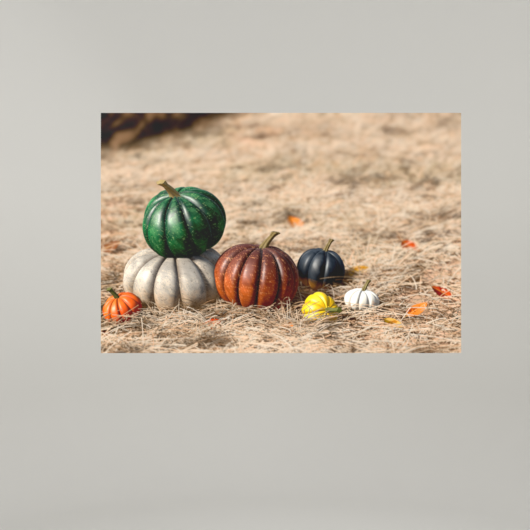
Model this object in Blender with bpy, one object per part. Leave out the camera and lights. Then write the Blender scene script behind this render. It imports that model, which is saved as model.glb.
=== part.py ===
"""Unframed wall print: one large picture sheet that sticks flat to a wall by its own adhesive back.

Frame: the origin is the centre of the face that lies on the wall. +X runs to the print's right as seen
from the room, +Y points into the wall and +Z points up. Lengths are in metres.
The sheet is made of the two layers that a person would name: the printed vinyl film with its square cut
edges, and the coat of adhesive behind it, which stops just short of the film's edge all round.
"""

import math

import bmesh
import bpy
from mathutils import Vector

# Driving dimensions
PRINT_WIDTH = 0.9144
PRINT_HEIGHT = 0.6096
SHEET_THICKNESS = 0.0005
ADHESIVE_THICKNESS = 0.0001
LAYER_GAP = 0.00002
CORNER_RADIUS = 0.0012
CORNER_STEPS = 5
EDGE_EASE = 0.00006
ADHESIVE_MARGIN = 0.0006

# Depths along Y of the faces of the two layers, from the wall outwards
WALL_FACE = 0.0
ADHESIVE_FRONT = WALL_FACE - ADHESIVE_THICKNESS
FILM_BACK = ADHESIVE_FRONT - LAYER_GAP
FILM_FRONT = WALL_FACE - SHEET_THICKNESS

# Finishes: base colour, roughness, metallic value
PRINTED_FACE = ((0.55, 0.42, 0.29, 1.0), 0.45, 0.0)
ADHESIVE = ((0.74, 0.74, 0.70, 1.0), 0.35, 0.0)


def clear_scene():
    """Removes whatever the startup file left."""
    for obj in list(bpy.data.objects):
        bpy.data.objects.remove(obj)


def finish(name, look):
    """A plain Principled material from a base colour, a roughness and a metallic value."""
    colour, roughness, metallic = look
    material = bpy.data.materials.new(name)
    material.use_nodes = True
    shader = material.node_tree.nodes["Principled BSDF"]
    shader.inputs["Base Color"].default_value = colour
    shader.inputs["Roughness"].default_value = roughness
    shader.inputs["Metallic"].default_value = metallic
    return material


def rounded_outline(width, height, radius, y):
    """Points round a rectangle with round corners, at depth y, seen anticlockwise from the room."""
    points = []
    centres = (
        (width / 2 - radius, height / 2 - radius),
        (radius - width / 2, height / 2 - radius),
        (radius - width / 2, radius - height / 2),
        (width / 2 - radius, radius - height / 2),
    )
    for quarter, (x, z) in enumerate(centres):
        for step in range(CORNER_STEPS + 1):
            angle = math.pi / 2 * (quarter + step / CORNER_STEPS)
            points.append(Vector((x + radius * math.cos(angle), y, z + radius * math.sin(angle))))
    return points


def sheet_layer(name, width, height, radius, front, back, ease, look):
    """A flat layer between two depths, with its front and back rims eased by a small bevel."""
    mesh = bpy.data.meshes.new(name)
    shape = bmesh.new()
    rim = [shape.verts.new(point) for point in rounded_outline(width, height, radius, front)]
    face = shape.faces.new(rim)
    drawn = bmesh.ops.extrude_face_region(shape, geom=[face])
    moved = [item for item in drawn["geom"] if isinstance(item, bmesh.types.BMVert)]
    bmesh.ops.translate(shape, verts=moved, vec=(0.0, back - front, 0.0))
    bmesh.ops.recalc_face_normals(shape, faces=shape.faces)
    shape.to_mesh(mesh)
    shape.free()
    mesh.materials.append(finish(name, look))
    layer = bpy.data.objects.new(name, mesh)
    bpy.context.collection.objects.link(layer)
    if ease:
        bevel = layer.modifiers.new("eased rims", "BEVEL")
        bevel.width = ease
        bevel.segments = 2
        bevel.limit_method = "ANGLE"
        bevel.angle_limit = math.radians(60)
    return layer


def build():
    """The whole print."""
    clear_scene()
    sheet_layer(
        "print_film",
        PRINT_WIDTH,
        PRINT_HEIGHT,
        CORNER_RADIUS,
        FILM_FRONT,
        FILM_BACK,
        EDGE_EASE,
        PRINTED_FACE,
    )
    sheet_layer(
        "adhesive_coat",
        PRINT_WIDTH - 2 * ADHESIVE_MARGIN,
        PRINT_HEIGHT - 2 * ADHESIVE_MARGIN,
        CORNER_RADIUS - ADHESIVE_MARGIN / 2,
        ADHESIVE_FRONT,
        WALL_FACE,
        0.0,
        ADHESIVE,
    )


build()
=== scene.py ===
"""Looks of an unframed wall print: a matte vinyl sheet that carries one wide picture.

The sheet hangs flat on a wall by its adhesive back. Its picture is made up for this part and painted by
formula: a pile of squashes on a sunlit field of straw, seen by a make-believe camera in the field.
"""

import math

import bpy
import numpy as np
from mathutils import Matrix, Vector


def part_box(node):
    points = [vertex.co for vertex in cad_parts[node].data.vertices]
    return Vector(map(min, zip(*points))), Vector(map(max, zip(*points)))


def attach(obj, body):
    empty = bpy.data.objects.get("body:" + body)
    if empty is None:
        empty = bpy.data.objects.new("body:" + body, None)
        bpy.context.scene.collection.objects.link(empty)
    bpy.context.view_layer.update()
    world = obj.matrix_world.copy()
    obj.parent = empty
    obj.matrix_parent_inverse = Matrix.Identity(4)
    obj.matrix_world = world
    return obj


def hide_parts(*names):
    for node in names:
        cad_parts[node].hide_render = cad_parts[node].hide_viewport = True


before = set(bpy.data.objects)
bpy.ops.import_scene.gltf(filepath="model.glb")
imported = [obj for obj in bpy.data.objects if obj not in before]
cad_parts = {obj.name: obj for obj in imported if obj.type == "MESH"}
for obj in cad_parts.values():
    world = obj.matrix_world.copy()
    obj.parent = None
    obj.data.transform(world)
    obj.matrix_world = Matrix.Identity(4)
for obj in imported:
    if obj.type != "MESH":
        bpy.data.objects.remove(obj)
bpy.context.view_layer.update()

FILM_LOW, FILM_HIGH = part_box("print_film")
COAT_LOW, COAT_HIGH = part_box("adhesive_coat")
SHEET_WIDTH = FILM_HIGH.x - FILM_LOW.x
SHEET_HEIGHT = FILM_HIGH.z - FILM_LOW.z

# Studio: sizes and places in metres
FLOOR_LEVEL = -1.45
DRUM_RADIUS = 3.0
DRUM_SWEEP = 0.6
DRUM_TOP = 2.6
CAMERA_PLACE = (-0.0406, -1.8682, -0.0812)
# Sides of the drum, steps of its sweep, the paper's colour, the lens in millimetres and the even light
DRUM_SIDES = 96
SWEEP_STEPS = 12
PAPER = (0.82, 0.81, 0.78)
LENS = 50.0
DAYLIGHT = 0.45
# Soft lamps: place and width in metres and power in watts of each
LAMPS = {
    "key_box": ((-1.6, -2.1, 0.9), 1.8, 38),
    "fill_box": ((1.8, -2.0, 0.3), 1.8, 24),
    "back_box": ((0.9, 2.0, 1.2), 1.5, 24),
}

# Film sheet: cells of its printed face, dots of ink to each cell each way, steps of a round corner and
# loops of the rim
CELLS_ACROSS = 372
CELLS_UP = 248
DOTS = 4
CORNER_STEPS = 5
LOOPS = 5
# Its sizes in metres: corners and eased arrises, then how wide the marks of its finish are and how deep
CORNER_RADIUS = 0.0012
EDGE_EASE = 0.00006
PRINT_GRAIN = 0.0005
EMBOSSING = 0.0008
WAVES = 0.009
WIPE_MARKS = 0.012
FACE_RELIEF = 0.00006
# Its colour where nothing is printed, and the names of its mesh's attributes
FILM_WHITE = (0.85, 0.85, 0.83)
DOT_NAME = "dot_{}_{}"
PLACE_NAME = "place_in_cell"

# Bake map: left, low, width and height of the face's and the back's windows, then the rim's bands
FACE_WINDOW = (0.004, 0.075, 0.992, 0.920)
BACK_WINDOW = (0.020, 0.004, 0.960, 0.014)
BAND_LEVEL = 0.030
BAND_PITCH = 0.006
BAND_HEIGHT = 0.004

# Adhesive coat: pads between its air channels, and its plate's share of the thickness
PADS_ACROSS = 76
PADS_UP = 51
PLATE_SHARE = 0.45
# Its sizes in metres: channels, corners, how far the pads sink into the plate, and the plate's back
CHANNEL_WIDTH = 0.0007
COAT_CORNER_RADIUS = 0.0009
COAT_BURY = 0.00001
PLATE_BACK = COAT_LOW.y + PLATE_SHARE * (COAT_HIGH.y - COAT_LOW.y)

# Picture canvas: columns and rows of dots
WIDE = DOTS * CELLS_ACROSS
HIGH = DOTS * CELLS_UP
ASPECT = WIDE / HIGH

# Camera of the painted field: height and focus in metres, and the focal length in picture heights
EYE_HEIGHT = 1.12
EYE = np.array([0, 0, EYE_HEIGHT])
PITCH = math.radians(14.0)
FOCAL = 5.6
FOCUS_DISTANCE = 3.55
# Its softness: dots of blur off the focus, what a dot takes from its neighbours in all and on an outline,
# and the jump in depth that makes an outline, in metres
FOCUS_SPREAD = 18.0
LENS_SOFTNESS = 0.35
OUTLINE_SOFTNESS = 0.70
OUTLINE_DEPTH = 0.02
# Light of the painted field: the way to the sun, then sun, sky and glow on straw and on skins
SUN = np.array([-0.73, -0.44, 0.63])
SUN = SUN / np.linalg.norm(SUN)
SUNLIGHT = np.array([1.25, 1.17, 1.07])
SKYLIGHT = np.array([0.29, 0.33, 0.43])
GLOW = np.array([0.18, 0.14, 0.11])
SKIN_SUN = np.array([1.90, 1.79, 1.60])
SKIN_SKY = np.array([0.38, 0.46, 0.59])
SKIN_GLOW = np.array([0.38, 0.29, 0.20])
# The skins' highlight of the sun and their reflection of the sky
SHINE_TINT = np.array([1.0, 0.97, 0.91])
SHEEN_TINT = np.array([0.53, 0.60, 0.70])

# Tone curve of the field: its turning point, ceiling and contrast, and how strong colour is at each level
LUMINANCE = np.array([0.2126, 0.7152, 0.0722])
TONE_PIVOT = 0.42
TONE_CEILING = 0.86
SHADOW_CONTRAST = 1.35
COLOUR_LEVELS = (0.08, 0.25, TONE_PIVOT, 0.75)
COLOUR_STRENGTHS = (1.25, 1.07, 1.0, 0.80)

# Printing: the inks' gain, and the depth that makes up for the film's own gloss over them
INK_GAIN = 1.035
GLOSS_VEIL = 0.028


# ---- Small tools of the painter


def ink(red, green, blue):
    """Linear colour of a printed tone given in display values from 0 to 255."""
    tone = np.array([red, green, blue]) / 255.0
    return np.where(tone <= 0.04045, tone / 12.92, ((tone + 0.055) / 1.055) ** 2.4)


def mixed(first, second, share):
    """Blend of two colours, with one share for each point."""
    share = np.asarray(share)[..., None]
    return first * (1 - share) + second * share


def tinted(light, colour):
    """A coloured light from its strength at each point."""
    return light[..., None] * colour


def ramp(low, high, value):
    """Smooth step from 0 at low to 1 at high."""
    share = np.clip((value - low) / (high - low), 0, 1)
    return share * share * (3 - 2 * share)


def unit(vectors):
    """Vectors of length one."""
    return vectors / (np.linalg.norm(vectors, axis=-1, keepdims=True) + 1e-9)


def speckle(x, y, seed):
    """Smooth noise from 0 to 1 on a plane, about one hump to each unit."""
    table = np.random.default_rng(seed).random((256, 256)).astype(np.float32)
    column, row = np.floor(x), np.floor(y)
    across, along = (x - column).astype(np.float32), (y - row).astype(np.float32)
    across, along = across * across * (3 - 2 * across), along * along * (3 - 2 * along)
    column, row = column.astype(np.int64) & 255, row.astype(np.int64) & 255
    right, down = (column + 1) & 255, (row + 1) & 255
    top = table[row, column] * (1 - across) + table[row, right] * across
    low = table[down, column] * (1 - across) + table[down, right] * across
    return top * (1 - along) + low * along


def layered(octave, count, fade):
    """A number of octaves of noise laid over each other, each fainter than the last by a factor."""
    total, size, weight = 0.0, 1.0, 0.0
    for k in range(count):
        total = total + size * octave(k)
        weight += size
        size *= fade
    return total / weight


def cloud(x, y, seed, octaves=4):
    """Layered noise from 0 to 1 on a plane."""
    def octave(k):
        return speckle(x * 2**k + 17.3 * k, y * 2**k - 9.1 * k, seed + k)

    return layered(octave, octaves, 0.55)


def marbled(points, scale, seed, octaves=3):
    """Layered noise from 0 to 1 through a body."""
    def octave(k):
        x, y, z = points.T * (scale * 2**k)
        level = speckle(x + 31 + 0.5 * z, y + 17 - 0.5 * z, seed + 7 * k)
        upright = speckle(y + 5 + 0.5 * x, z + 9, seed + 7 * k + 1)
        return (level + upright) / 2

    return layered(octave, octaves, 0.6)


def blurred(layer, sigma):
    """A layer of the canvas under a soft blur, made by three box blurs each way."""
    if not sigma:
        return layer
    radius = max(1, round(sigma))
    width = 2 * radius + 1
    out = np.asarray(layer, np.float32)
    for axis in (0, 1):
        out = np.moveaxis(out, axis, 0)
        for _ in range(3):
            rim = [(radius + 1, radius)] + [(0, 0)] * (out.ndim - 1)
            total = np.cumsum(np.pad(out, rim, mode="edge"), axis=0, dtype=np.float64)
            out = ((total[width:] - total[:-width]) / width).astype(np.float32)
        out = np.moveaxis(out, 0, axis)
    return out


# ---- The painted field's camera and ground

# Hollows of each kind: how many, their smallest size and its spread in metres, and how dark they are
HOLLOWS = ((190, 0.009, 0.026, 0.92), (70, 0.024, 0.050, 0.50))


def field_grid():
    """Each dot's direction from the eye, and the x and y of the ground that it shows."""
    across = ((np.arange(WIDE) + 0.5) / WIDE - 0.5) * ASPECT
    up = 0.5 - (np.arange(HIGH) + 0.5) / HIGH
    across, up = np.meshgrid(across, up)
    forward = FOCAL * math.cos(PITCH) + up * math.sin(PITCH)
    rise = up * math.cos(PITCH) - FOCAL * math.sin(PITCH)
    reach = -EYE_HEIGHT / rise
    return unit(np.stack([across, forward, rise], -1)), across * reach, forward * reach


def canvas_place(x, y, z):
    """Column, row and size on the canvas of one metre for points of the field."""
    drop = EYE_HEIGHT - z
    scale = FOCAL / (y * math.cos(PITCH) + drop * math.sin(PITCH))
    up = scale * (y * math.sin(PITCH) - drop * math.cos(PITCH))
    return (scale * x / ASPECT + 0.5) * WIDE, (0.5 - up) * HIGH, scale * HIGH


def scattered(random, count):
    """Points of the ground spread evenly over the picture and a little past it."""
    across = (random.random(count) - 0.5) * ASPECT * 1.10
    up = (random.random(count) - 0.5) * 1.10 - 0.02
    reach = EYE_HEIGHT / (FOCAL * math.sin(PITCH) - up * math.cos(PITCH))
    return across * reach, (FOCAL * math.cos(PITCH) + up * math.sin(PITCH)) * reach


def relief(x, y):
    """Height of the bare ground: long swells with small humps on them."""
    swells, humps = cloud(x * 1.5 + 3, y * 1.1, 301, 3), cloud(x * 6, y * 5 + 8, 311, 3)
    return 0.050 * (swells - 0.5) + 0.032 * (humps - 0.5)


def above_ground(x, y, height):
    """The point at a height above the relief."""
    return np.array([x, y, height + float(relief(np.array([x]), np.array([y]))[0])])


def straw_cover(x, y):
    """How thickly straw covers the ground, from 0 to 1: thinly on the trodden patch at the right."""
    trodden = np.exp(-(((x - 0.36) / 0.24) ** 2 + ((y - 3.48) / 0.11) ** 2))
    return ramp(0.40, 0.56, cloud(x * 1.3 + 7, y * 0.95 + 3.4, 321, 4) + 0.01 - 0.30 * trodden)


def hollow_depth(x, y, random):
    """Ragged hollows between the tufts, from 0 to 1 at each point."""
    x = x + 0.05 * (cloud(x * 16, y * 12, 331, 3) - 0.5)
    y = y + 0.07 * (cloud(x * 14 + 9, y * 11, 335, 3) - 0.5)
    depth = np.zeros(x.shape, np.float32)
    for count, smallest, spread, darkest in HOLLOWS:
        centre_x, centre_y = scattered(random, count)
        sizes = smallest + spread * random.random(count) ** 2
        for cx, cy, size in zip(centre_x, centre_y, sizes):
            away = ((x - cx) / (2.2 * size)) ** 2 + ((y - cy) / (1.6 * size)) ** 2
            depth = np.maximum(depth, darkest * np.exp(-away))
    return depth


# ---- Straw

STRAW_TONES = np.array([
    ink(250, 232, 206),
    ink(240, 214, 182),
    ink(230, 198, 164),
    ink(216, 176, 140),
    ink(238, 222, 198),
    ink(210, 188, 160),
    ink(242, 206, 168),
    ink(190, 152, 120),
])
STRAW_SHARES = np.array([0.17, 0.21, 0.19, 0.12, 0.11, 0.08, 0.08, 0.04])
OLIVE = ink(132, 128, 96)
MAT_BLADES = 105000
TUFTS = 330
LONG_STRAWS = 1300
# Points along a blade: their spacing in dots, and the most of them
POINT_SPACING = 0.95
MOST_POINTS = 420
# Lanes across a blade, the last in front: places in half widths right and down, and light
LANES = ((0.77, 0.55, 0.80), (-0.77, -0.35, 0.97), (0.0, -0.90, 1.10), (0.0, 0.0, 1.0))


def mat_blades(random):
    """Short blades that lie in a mat."""
    x, y = scattered(random, MAT_BLADES)
    kept = random.random(MAT_BLADES) < 0.05 + 0.95 * straw_cover(x, y)
    x, y = x[kept], y[kept]
    count = len(x)
    return {
        "x": x,
        "y": y,
        "heading": random.random(count) * math.tau,
        "curl": random.normal(0, 0.45, count),
        "length": 0.018 + 0.060 * random.random(count) ** 1.6,
        "lift": 0.003 + 0.020 * random.random(count) ** 2,
        "droop": 1.2 + 0.8 * random.random(count),
        "width": 0.0010 + 0.0013 * random.random(count),
        "root": 0.008 * random.random(count),
    }


def tuft_blades(random):
    """Longer blades that stand out of tufts."""
    x, y = scattered(random, TUFTS)
    kept = random.random(TUFTS) < 0.25 + 0.75 * straw_cover(x, y)
    x, y = x[kept], y[kept]
    size = 0.5 + random.random(len(x)) ** 1.5
    tuft = np.repeat(np.arange(len(x)), (26 + 60 * size).astype(int))
    count = len(tuft)
    outward = random.random(count) * math.tau
    spread = np.abs(random.normal(0, 0.020, count)) * size[tuft]
    length = (0.030 + 0.055 * random.random(count)) * size[tuft]
    return {
        "x": x[tuft] + spread * np.cos(outward),
        "y": y[tuft] + spread * np.sin(outward),
        "heading": outward + random.normal(0, 0.6, count),
        "curl": random.normal(0, 0.35, count),
        "length": length,
        "lift": length * (0.10 + 0.55 * random.random(count) ** 2),
        "droop": 0.2 + 1.3 * random.random(count) ** 2,
        "width": 0.0011 + 0.0012 * random.random(count),
        "root": 0.006 * random.random(count),
    }


def long_straws(random):
    """A few long dry stems that lie over the rest."""
    x, y = scattered(random, LONG_STRAWS)
    return {
        "x": x,
        "y": y,
        "heading": random.random(LONG_STRAWS) * math.tau,
        "curl": random.normal(0, 0.12, LONG_STRAWS),
        "length": 0.07 + 0.13 * random.random(LONG_STRAWS),
        "lift": 0.010 + 0.020 * random.random(LONG_STRAWS),
        "droop": np.ones(LONG_STRAWS),
        "width": 0.0014 + 0.0010 * random.random(LONG_STRAWS),
        "root": 0.010 + 0.012 * random.random(LONG_STRAWS),
    }


def straw_tones(blades, random):
    """Each blade's colour, brighter where it lies across the sunbeams."""
    count = len(blades["x"])
    kind = random.choice(len(STRAW_TONES), count, p=STRAW_SHARES)
    tone = STRAW_TONES[kind] * (0.72 + 0.40 * random.random(count))[:, None]
    olive = ramp(0.52, 0.66, cloud(blades["x"] * 1.4 + 60, blades["y"] * 1.1, 341))
    tone = mixed(tone, OLIVE, 0.55 * olive * random.random(count))
    slope = blades["lift"] / blades["length"]
    along = unit(np.stack([np.cos(blades["heading"]), np.sin(blades["heading"]), slope], 1))
    return tone * (0.55 + 0.55 * np.sqrt(1 - (along @ SUN) ** 2))[:, None]


def straw_points(random):
    """Closely spaced points along every blade, from the lowest to the highest."""
    groups = [mat_blades(random), tuft_blades(random), long_straws(random)]
    blades = {key: np.concatenate([group[key] for group in groups]) for key in groups[0]}
    root = blades["root"] + relief(blades["x"], blades["y"])
    scale = canvas_place(blades["x"], blades["y"], root)[2]
    counts = np.clip(blades["length"] * scale / POINT_SPACING, 6, MOST_POINTS).astype(int)
    blade = np.repeat(np.arange(len(counts)), counts)
    number = np.arange(len(blade)) - np.repeat(np.cumsum(counts) - counts, counts)
    share = number / (counts[blade] - 1)
    angle = blades["heading"][blade] + blades["curl"][blade] * share
    reach = blades["length"][blade] * share
    droop = blades["droop"][blade]
    points = {
        "x": blades["x"][blade] + reach * np.cos(angle),
        "y": blades["y"][blade] + reach * np.sin(angle),
        "z": root[blade] + blades["lift"][blade] * ((1 + droop) * share - droop * share**2),
        "share": share,
        "blade": blade,
    }
    upwards = np.argsort(np.round(points["z"] * 2e5).astype(np.int32), kind="stable")
    points = {key: values[upwards] for key, values in points.items()}
    points["half_width"] = 0.5 * blades["width"][points["blade"]]
    points["tone"] = straw_tones(blades, random)
    return points


class SunMap:
    """The highest straw on each sunbeam, kept by where the beam meets the ground."""

    MARGIN = 60
    BIAS = 0.0015
    SOFTNESS = 0.004

    def __init__(self, points):
        self.wide, self.high = WIDE + 2 * self.MARGIN, HIGH + 2 * self.MARGIN
        column, row = self.cell(points["x"], points["y"], points["z"])
        self.top = np.full(self.wide * self.high, -1.0, np.float32)
        for right, down in ((0, 0), (1, 0), (0, 1), (-1, 0)):
            spot, inside = self.spot(column + right, row + down)
            layer = np.full_like(self.top, -1.0)
            layer[spot[inside]] = points["z"][inside]
            self.top = np.maximum(self.top, layer)

    def cell(self, x, y, z):
        """Column and row of the beam that passes through each point."""
        fall = z / SUN[2]
        column, row, _ = canvas_place(x - fall * SUN[0], y - fall * SUN[1], 0.0)
        return column + self.MARGIN, row + self.MARGIN

    def spot(self, column, row):
        """Places in the map, and which of them lie inside it."""
        column, row = np.floor(column).astype(np.int64), np.floor(row).astype(np.int64)
        inside = (column >= 0) & (column < self.wide) & (row >= 0) & (row < self.high)
        return row * self.wide + column, inside

    def shade(self, x, y, z):
        """How much of the sun straw takes from each point, from 0 to 1."""
        column, row = self.cell(x, y, z)
        shade = np.zeros(len(x), np.float32)
        for right, down in ((0.36, 0.24), (-0.84, 0.48), (1.08, -0.60), (-0.24, -0.96)):
            spot, inside = self.spot(column + right, row + down)
            over = self.top[spot[inside]] - z[inside]
            shade[inside] += 0.25 * np.clip((over - self.BIAS) / self.SOFTNESS, 0, 1)
        return shade


def front_straw(points):
    """Which straw point shows at each place on the canvas, and in which lane across its blade."""
    column, row, scale = canvas_place(points["x"], points["y"], points["z"])
    half = points["half_width"] * scale
    front = np.full(HIGH * WIDE, -1, np.int64)
    number = np.arange(len(column)) * len(LANES)
    for lane, (right, down, _) in enumerate(LANES):
        across = np.floor(column + right * half).astype(np.int64)
        along = np.floor(row + down * half).astype(np.int64)
        inside = (across >= 0) & (across < WIDE) & (along >= 0) & (along < HIGH)
        layer = np.full(HIGH * WIDE, -1, np.int64)
        layer[along[inside] * WIDE + across[inside]] = number[inside] + lane
        front = np.maximum(front, layer)
    return front


# ---- Squashes

# How sharp the creases between ribs are, and how far a ray may trust a distance from body and stalk
CREASE_POWER = 2.2
BODY_TRUST = 0.82
STALK_TRUST = 0.75
FAR_AWAY = 9.0
# Rays from the eye, in metres: where they start and give up, and how near counts as met
FIRST_REACH = 3.2
LAST_REACH = 4.6
TOUCH = 0.0003
# Rays to the sun, in metres: where they start and give up, and how sharp a shadow's edge is
SHADOW_START = 0.010
SHADOW_END = 0.9
SHADOW_SHARPNESS = 6
# The highlight's core and its halo: strength and tightness of each
CORE = (0.99, 60)
HALO = (0.38, 14)


def turned(lean_side, lean_front, spin):
    """Axes of a thing that leans about X and then Y and is spun about its own axis."""
    axes = np.eye(3)
    for angle, first, second in ((lean_side, 1, 2), (lean_front, 2, 0), (spin, 0, 1)):
        turn = np.eye(3)
        turn[first, first] = turn[second, second] = math.cos(angle)
        turn[first, second], turn[second, first] = -math.sin(angle), math.sin(angle)
        axes = axes @ turn
    return axes


class Squash:
    """A ribbed squash: a fat ring whose hole has closed, with a stalk in its dimple."""

    def __init__(self, skin, place, ring, tube, tall, ribs, groove, turn, stalk):
        self.skin = skin
        self.ring, self.tube, self.tall = ring, tube, tall
        self.ribs, self.groove = ribs, groove
        self.stalk_length, self.stalk_radius, self.stalk_bend = stalk
        self.axes = turned(*turn)
        self.centre = above_ground(*place)
        self.reach = ring + tube + self.stalk_length + 0.02
        self.dimple = tall * math.sqrt(tube**2 - ring**2)

    def local(self, points):
        """Points in the squash's own axes."""
        return (points - self.centre) @ self.axes

    def rib(self, spots):
        """One on the back of a rib, falling to nought in the crease between two."""
        return np.abs(np.cos(self.ribs * np.arctan2(spots[:, 1], spots[:, 0]) / 2))

    def body(self, spots):
        """About how far points in its own axes are from its body."""
        around = np.arctan2(spots[:, 1], spots[:, 0])
        size = 1 - self.groove * (1 - self.rib(spots)) ** CREASE_POWER
        size = size * (1 + 0.025 * np.sin(3 * around + self.ribs) + 0.018 * np.sin(5 * around))
        outward = np.hypot(spots[:, 0], spots[:, 1]) - self.ring * size
        proud = np.hypot(outward, spots[:, 2] / self.tall) - self.tube * size
        return proud * min(self.tall, 1) * BODY_TRUST

    def stalk(self, spots):
        """About how far points in its own axes are from its stalk."""
        if not self.stalk_length:
            return np.full(len(spots), FAR_AWAY)
        low, high = self.dimple - 0.012, self.tall * self.tube + self.stalk_length
        share = np.clip((spots[:, 2] - low) / (high - low), 0, 1)
        dx = spots[:, 0] - self.stalk_bend * share**1.6
        dy = spots[:, 1] + 0.4 * self.stalk_bend * share**2
        flare = 1 - 0.35 * share + 1.1 * (1 - share) ** 6 + 2.3 * np.clip(share - 0.85, 0, 1)
        radius = self.stalk_radius * flare * (1 + 0.14 * np.cos(5 * np.arctan2(dy, dx) + 3 * share))
        past_end = np.abs(spots[:, 2] - low - share * (high - low)) - 0.002
        return np.maximum(np.hypot(dx, dy) - radius, past_end) * STALK_TRUST

    def distance(self, points):
        """About how far points of the field are from the squash."""
        out = np.linalg.norm(points - self.centre, axis=1) - self.reach + 0.03
        near = out < 0.05
        if near.any():
            spots = self.local(points[near])
            out[near] = np.minimum(self.body(spots), self.stalk(spots))
        return out

    def normal(self, spots):
        """Outward directions at points of the surface, with the small dents of real skin."""
        slopes = []
        dents = []
        for axis, nudge in enumerate(0.0006 * np.eye(3)):
            ahead = np.minimum(self.body(spots + nudge), self.stalk(spots + nudge))
            behind = np.minimum(self.body(spots - nudge), self.stalk(spots - nudge))
            slopes.append(ahead - behind)
            dents.append(marbled(spots + 0.3 * axis, 55, 90 + 5 * axis) - 0.5)
        rough = np.where(self.stalk(spots) < self.body(spots), 0.65, 0.26)
        return unit(unit(np.stack(slopes, 1)) + np.stack(dents, 1) * rough[:, None]) @ self.axes.T


def rising(value, low, gain):
    """A share from 0 to 1 that starts to rise where a value passes low."""
    return np.clip((value - low) * gain, 0, 1)


# Each skin's colour comes from five values at a point: how deep it lies in a crease, how high up the
# squash it is, and a broad, a middling and a fine mottle


def silver_skin(crease, height, broad, mid, fine):
    """Pale grey skin with corky veins and dark pores over it, tan creases and a straw blush low down."""
    tone = mixed(ink(146, 140, 133), ink(200, 192, 182), rising(broad, 0.35, 2.6))
    tone = mixed(tone, ink(112, 98, 86), 0.8 * rising(crease, 0, 1.3))
    tone = mixed(tone, ink(204, 164, 124), 0.8 * rising(0.30 - height * 1.2 + (mid - 0.5), 0, 1))
    veins = rising(1 - 26 * np.abs(mid - 0.5), 0, 1) * ramp(0.28, 0.48, broad)
    tone = mixed(tone, ink(222, 204, 176), 0.36 * veins)
    tone = mixed(tone, ink(92, 84, 78), 0.5 * rising(fine, 0.62, 9))
    return tone * (0.84 + 0.32 * mid)[:, None]


def chestnut_skin(crease, height, broad, mid, fine):
    """Red-brown skin, darker on its shoulders, with pale corky flecks."""
    tone = mixed(ink(104, 46, 28), ink(158, 76, 42), rising(broad, 0.35, 2.4))
    tone = mixed(tone, ink(198, 104, 48), 0.6 * rising(0.35 - height * 1.2 + (mid - 0.5), 0, 1))
    tone = mixed(tone, ink(54, 26, 22), 0.9 * rising(crease, 0, 1.2))
    tone = mixed(tone, ink(74, 50, 50), 0.8 * rising(height * 1.3 - 0.15 + (broad - 0.5), 0, 1))
    tone = mixed(tone, ink(214, 150, 104), 0.45 * rising(fine, 0.60, 8))
    return tone * (0.80 + 0.40 * mid)[:, None]


def green_skin(crease, height, broad, mid, fine):
    """Deep green skin with a paler bloom on the backs of its ribs and pale flecks."""
    tone = mixed(ink(6, 52, 36), ink(20, 104, 58), rising(broad, 0.40, 3))
    tone = mixed(tone, ink(90, 146, 92), 0.40 * rising(1 - crease * 40, 0, 1) * rising(mid, 0.31, 2.6))
    tone = mixed(tone, ink(5, 28, 30), 0.8 * rising(crease, 0, 1.2))
    tone = mixed(tone, ink(140, 168, 112), 0.5 * rising(fine, 0.63, 9))
    return tone * (0.85 + 0.30 * mid)[:, None]


def black_skin(crease, height, broad, mid, fine):
    """Blue-black skin with a dull bloom and one tan patch low down."""
    tone = mixed(ink(30, 36, 44), ink(74, 82, 92), rising(broad, 0.38, 2.4))
    tone = mixed(tone, ink(198, 140, 66), 0.8 * rising((-height - 0.45) * 3 + mid, 0.4, 1))
    return tone * (0.85 + 0.30 * mid)[:, None]


def yellow_skin(crease, height, broad, mid, fine):
    """Bright yellow skin with a green base."""
    tone = mixed(ink(232, 176, 18), ink(246, 206, 48), rising(broad, 0.4, 3))
    tone = mixed(tone, ink(70, 96, 40), 0.9 * rising((-height - 0.35) * 3 + mid, 0.5, 1))
    return tone * (0.90 + 0.20 * mid)[:, None]


def white_skin(crease, height, broad, mid, fine):
    """Chalk-white skin with buff creases."""
    tone = mixed(ink(236, 230, 218), ink(248, 246, 240), rising(broad, 0.4, 3))
    return mixed(tone, ink(206, 190, 160), 0.6 * rising(crease, 0, 1))


def orange_skin(crease, height, broad, mid, fine):
    """Orange-red skin with darker creases."""
    tone = mixed(ink(226, 84, 28), ink(242, 116, 44), rising(broad, 0.4, 3))
    return mixed(tone, ink(170, 52, 22), 0.7 * rising(crease, 0, 1))


# Each skin: its colour, how glossy it is and the colour of its stalk
SKINS = {
    "silver": (silver_skin, 0.08, ink(112, 98, 66)),
    "chestnut": (chestnut_skin, 0.35, ink(112, 98, 66)),
    "green": (green_skin, 0.55, ink(150, 132, 92)),
    "black": (black_skin, 0.40, ink(118, 104, 72)),
    "yellow": (yellow_skin, 0.45, ink(96, 100, 58)),
    "white": (white_skin, 0.15, ink(122, 112, 76)),
    "orange": (orange_skin, 0.40, ink(104, 104, 64)),
}


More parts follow.
